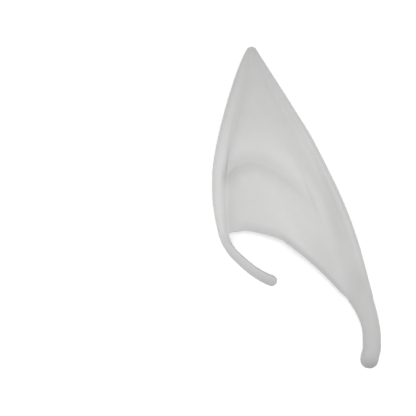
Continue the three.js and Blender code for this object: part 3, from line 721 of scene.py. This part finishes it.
def pressing_tree():
    tree = bpy.data.node_groups.new("press_fold", "GeometryNodeTree")
    sockets = [("Skin", "NodeSocketGeometry"), ("Fold line", "NodeSocketObject"),
               ("Fold depth", "NodeSocketFloat"), ("Fold half width", "NodeSocketFloat"),
               ("Fold sharpness", "NodeSocketFloat"), ("Unevenness", "NodeSocketFloat"),
               ("Uneven size", "NodeSocketFloat"), ("Even below", "NodeSocketFloat"),
               ("Seed", "NodeSocketInt"), ("Latex", "NodeSocketMaterial")]
    for name, kind in sockets:
        tree.interface.new_socket(name, in_out="INPUT", socket_type=kind)
    tree.interface.new_socket("Casting", in_out="OUTPUT", socket_type="NodeSocketGeometry")
    given = tree.nodes.new("NodeGroupInput").outputs
    line = add_node(tree, "GeometryNodeObjectInfo", Object=given["Fold line"]).outputs["Geometry"]

    position = tree.nodes.new("GeometryNodeInputPosition").outputs[0]
    parts = add_node(tree, "ShaderNodeSeparateXYZ", Vector=position).outputs
    plan = add_node(tree, "ShaderNodeCombineXYZ", X=parts["X"], Y=parts["Y"]).outputs[0]
    near = add_node(tree, "GeometryNodeProximity", {"target_element": "EDGES"}, i0=line)
    tree.links.new(plan, near.inputs["Sample Position"])
    nearest = add_node(tree, "GeometryNodeSampleNearest", {"domain": "POINT"}, Geometry=line,
                       Sample_Position=plan).outputs[0]

    def attribute(name):
        node = add_node(tree, "GeometryNodeInputNamedAttribute", {"data_type": "FLOAT"}, Name=name)
        return node.outputs["Attribute"]

    def from_line(name):
        return add_node(tree, "GeometryNodeSampleIndex", {"data_type": "FLOAT", "domain": "POINT"},
                        Geometry=line, Value=attribute(name), Index=nearest).outputs[0]

    half_width = maths(tree, "MULTIPLY", given["Fold half width"], from_line("reach"))
    ratio = maths(tree, "DIVIDE", near.outputs["Distance"], half_width)
    away = maths(tree, "POWER", ratio, given["Fold sharpness"])
    bell = maths(tree, "EXPONENT", maths(tree, "MULTIPLY", away, -1.0))
    valley = maths(tree, "MULTIPLY", bell, attribute("press"))
    # painted shade in the fold's valley, kept as the fold attribute that greys the latex colour
    fold_shade_bell = maths(tree, "EXPONENT", maths(tree, "MULTIPLY", maths(tree, "POWER", ratio, 2.0), -1.0))
    pool = maths(tree, "MULTIPLY", maths(tree, "MULTIPLY", fold_shade_bell, attribute("press")), from_line("pool"))
    marked = add_node(tree, "GeometryNodeStoreNamedAttribute", {"data_type": "FLOAT", "domain": "POINT"},
                      Geometry=given["Skin"], Name="fold", Value=pool).outputs[0]
    drop = maths(tree, "MULTIPLY", given["Fold depth"], -1.0)
    down = maths(tree, "MULTIPLY", maths(tree, "MULTIPLY", valley, from_line("depth")), drop)
    pressed = add_node(tree, "GeometryNodeSetPosition", Geometry=marked,
                       Offset=add_node(tree, "ShaderNodeCombineXYZ", Z=down).outputs[0]).outputs[0]

    noise = add_node(tree, "ShaderNodeTexNoise", {"noise_dimensions": "4D"}, Vector=position,
                     W=given["Seed"], Scale=maths(tree, "DIVIDE", 1.0, given["Uneven size"]),
                     Detail=3.0).outputs["Fac"]
    above = maths(tree, "DIVIDE", parts["Z"], given["Even below"])
    share = maths(tree, "MINIMUM", maths(tree, "MAXIMUM", above, 0.0), 1.0)
    swing = maths(tree, "MULTIPLY", maths(tree, "SUBTRACT", noise, 0.5), 2.0)
    height = maths(tree, "MULTIPLY", maths(tree, "MULTIPLY", swing, share), given["Unevenness"])
    normal = tree.nodes.new("GeometryNodeInputNormal").outputs[0]
    outward = add_node(tree, "ShaderNodeVectorMath", {"operation": "SCALE"}, i0=normal, Scale=height)
    uneven = add_node(tree, "GeometryNodeSetPosition", Geometry=pressed,
                      Offset=outward.outputs[0]).outputs[0]
    smooth = add_node(tree, "GeometryNodeSetShadeSmooth", Geometry=uneven).outputs[0]
    real = add_node(tree, "GeometryNodeRealizeInstances", Geometry=smooth).outputs[0]
    coated = add_node(tree, "GeometryNodeSetMaterial", Geometry=real, Material=given["Latex"]).outputs[0]
    tree.links.new(coated, tree.nodes.new("NodeGroupOutput").inputs["Casting"])
    return tree


# White latex: a matte, faintly waxy skin that light goes a little way into. Shade is painted into its colour:
# it is palest on the thin wall, where none is painted, and greyer at the point, the tail, the rims, the lip,
# the creases and the fold. It dries with faint clouds, a fine grain and a few pinholes.
# Scales are in cells per metre, PINHOLE_RADIUS in cells.
UNSHADED_WHITE = (0.53, 0.53, 0.527, 1)
SHADED_WHITE = (0.288, 0.288, 0.285, 1)
FOLD_SHADE = 0.13
CLOUD_SCALE = 190.0
CLOUD_TONES = (0.97, 1.03)
GRAIN_SCALE = 2600.0
GRAIN_SPREAD = (0.3, 0.7)
GRAIN_ROUGHNESS = (0.5, 0.64)
PINHOLE_SCALE = 420.0
PINHOLE_RADIUS = 0.16
PINHOLES_ABOVE = 0.62
GRAIN_HEIGHT = 0.00004
GRAIN_STRENGTH = 0.5
GLOW_SHARE = 0.2
GLOW_DEPTH = 0.0012
GLOW_COLOURS = (1.0, 0.9, 0.8)
LATEX_IOR = 1.42


def latex_material():
    material = bpy.data.materials.new("white_latex")
    material.use_nodes = True
    tree = material.node_tree
    surface = tree.nodes["Principled BSDF"]
    place = tree.nodes.new("ShaderNodeTexCoord").outputs["Object"]
    skin_shade = add_node(tree, "ShaderNodeAttribute", {"attribute_name": "painted_shade"}).outputs["Fac"]
    fold = add_node(tree, "ShaderNodeAttribute", {"attribute_name": "fold"}).outputs["Fac"]
    painted_shade = maths(tree, "ADD", skin_shade, maths(tree, "MULTIPLY", fold, FOLD_SHADE))
    clouds = add_node(tree, "ShaderNodeTexNoise", Vector=place, Scale=CLOUD_SCALE, Detail=4.0).outputs["Fac"]
    grain = add_node(tree, "ShaderNodeTexNoise", Vector=place, Scale=GRAIN_SCALE, Detail=3.0).outputs["Fac"]
    pinholes = add_node(tree, "ShaderNodeTexVoronoi", Vector=place, Scale=PINHOLE_SCALE, Randomness=1.0)

    def ranged(value, spread, result):
        """The value with its spread stretched to the result, and held at its two ends."""
        node = add_node(tree, "ShaderNodeMapRange", Value=value, i1=spread[0], i2=spread[1], i3=result[0],
                        i4=result[1])
        return node.outputs[0]

    # painted shade: the colour greys from the pale white with the share of painted shade and the fold's shade
    shaded_tone = add_node(tree, "ShaderNodeMix", {"data_type": "RGBA"}, i0=painted_shade, i6=UNSHADED_WHITE, i7=SHADED_WHITE)
    mottled = add_node(tree, "ShaderNodeVectorMath", {"operation": "SCALE"}, i0=shaded_tone.outputs[2],
                       Scale=ranged(clouds, (0.0, 1.0), CLOUD_TONES)).outputs[0]
    tree.links.new(mottled, surface.inputs["Base Color"])
    tree.links.new(ranged(grain, GRAIN_SPREAD, GRAIN_ROUGHNESS), surface.inputs["Roughness"])
    pit = ranged(pinholes.outputs["Distance"], (0.0, PINHOLE_RADIUS), (-1.0, 0.0))
    pitted = maths(tree, "MULTIPLY", pit, maths(tree, "GREATER_THAN", clouds, PINHOLES_ABOVE))
    bump = add_node(tree, "ShaderNodeBump", Height=maths(tree, "ADD", pitted, grain), Distance=GRAIN_HEIGHT,
                    Strength=GRAIN_STRENGTH)
    tree.links.new(bump.outputs[0], surface.inputs["Normal"])
    surface.inputs["Subsurface Weight"].default_value = GLOW_SHARE
    surface.inputs["Subsurface Radius"].default_value = GLOW_COLOURS
    surface.inputs["Subsurface Scale"].default_value = GLOW_DEPTH
    surface.inputs["IOR"].default_value = LATEX_IOR
    return material


skin_object = bpy.data.objects.new("ear_tip_latex", skin)
bpy.context.scene.collection.objects.link(skin_object)
pressing = skin_object.modifiers.new("press_fold", "NODES")
pressing.node_group = pressing_tree()
pressing_values = {"Fold line": fold_object, "Fold depth": FOLD_DEPTH, "Fold half width": FOLD_HALF_WIDTH,
                   "Fold sharpness": FOLD_SHARPNESS, "Unevenness": UNEVENNESS,
                   "Uneven size": UNEVEN_SIZE, "Even below": EVEN_BELOW, "Seed": DRYING_SEED,
                   "Latex": latex_material()}
for socket in pressing.node_group.interface.items_tree:
    if socket.in_out == "INPUT" and socket.name in pressing_values:
        pressing[socket.identifier] = pressing_values[socket.name]
depsgraph = bpy.context.evaluated_depsgraph_get()
cast = bpy.data.meshes.new_from_object(skin_object.evaluated_get(depsgraph), preserve_all_data_layers=True,
                                       depsgraph=depsgraph)
skin_object.modifiers.remove(pressing)
skin_object.data = cast
bpy.data.objects.remove(fold_object)

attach(skin_object, "root")
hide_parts("ear_tip")

# Studio: a plain white floor under a large soft light and a white sky. The camera hangs straight above and
# shows the ear tip at the size and place that it has in the photo, where it is 322.3 pixels long.
EAR_LENGTH_PIXELS = 322.3
PIXEL = LENGTH / EAR_LENGTH_PIXELS
FRAME_PIXELS = 416
EAR_MIDDLE_PIXEL = 296.5
EAR_CENTRE_LINE = 207.5
CAMERA_HEIGHT = 1.6
OUTLINE_HEIGHT = 0.004
SENSOR = 36.0
FLOOR_SIDE = 6.0
FLOOR_WHITE = (0.95, 0.95, 0.95, 1)
FLOOR_ROUGHNESS = 0.9
FLOOR_GLOW = 0.12
SKY_STRENGTH = 0.7
SOFTBOX_SIDE = 0.7
SOFTBOX_WATTS = 21
SOFTBOX_HEIGHT = 2.0
PURE_WHITE = (1, 1, 1, 1)

floor_half = FLOOR_SIDE / 2
floor_mesh = bpy.data.meshes.new("studio_floor")
floor_mesh.from_pydata([(-floor_half, -floor_half, 0), (floor_half, -floor_half, 0),
                        (floor_half, floor_half, 0), (-floor_half, floor_half, 0)], [], [(0, 1, 2, 3)])
floor_material = bpy.data.materials.new("studio_white")
floor_material.use_nodes = True
floor_surface = floor_material.node_tree.nodes["Principled BSDF"]
floor_surface.inputs["Base Color"].default_value = FLOOR_WHITE
floor_surface.inputs["Roughness"].default_value = FLOOR_ROUGHNESS
floor_surface.inputs["Emission Color"].default_value = PURE_WHITE
floor_surface.inputs["Emission Strength"].default_value = FLOOR_GLOW
floor_mesh.materials.append(floor_material)
floor = bpy.data.objects.new("studio_floor", floor_mesh)
bpy.context.scene.collection.objects.link(floor)

scene = bpy.context.scene
world = bpy.data.worlds.new("studio")
world.use_nodes = True
world.node_tree.nodes["Background"].inputs["Color"].default_value = PURE_WHITE
world.node_tree.nodes["Background"].inputs["Strength"].default_value = SKY_STRENGTH
scene.world = world
scene.view_settings.view_transform = "Standard"

softbox = bpy.data.lights.new("softbox", "AREA")
softbox.shape = "SQUARE"
softbox.size = SOFTBOX_SIDE
softbox.energy = SOFTBOX_WATTS
softbox_object = bpy.data.objects.new("softbox", softbox)
softbox_object.location = (0, 0, SOFTBOX_HEIGHT)
scene.collection.objects.link(softbox_object)

camera = bpy.data.cameras.new("camera")
camera.sensor_width = SENSOR
camera.lens = SENSOR * (CAMERA_HEIGHT - OUTLINE_HEIGHT) / (FRAME_PIXELS * PIXEL)
camera_object = bpy.data.objects.new("camera", camera)
half_frame = FRAME_PIXELS / 2
camera_object.location = (MIDDLE.x + (half_frame - EAR_MIDDLE_PIXEL) * PIXEL,
                          MIDDLE.y - (half_frame - EAR_CENTRE_LINE) * PIXEL, CAMERA_HEIGHT)
scene.collection.objects.link(camera_object)
scene.camera = camera_object
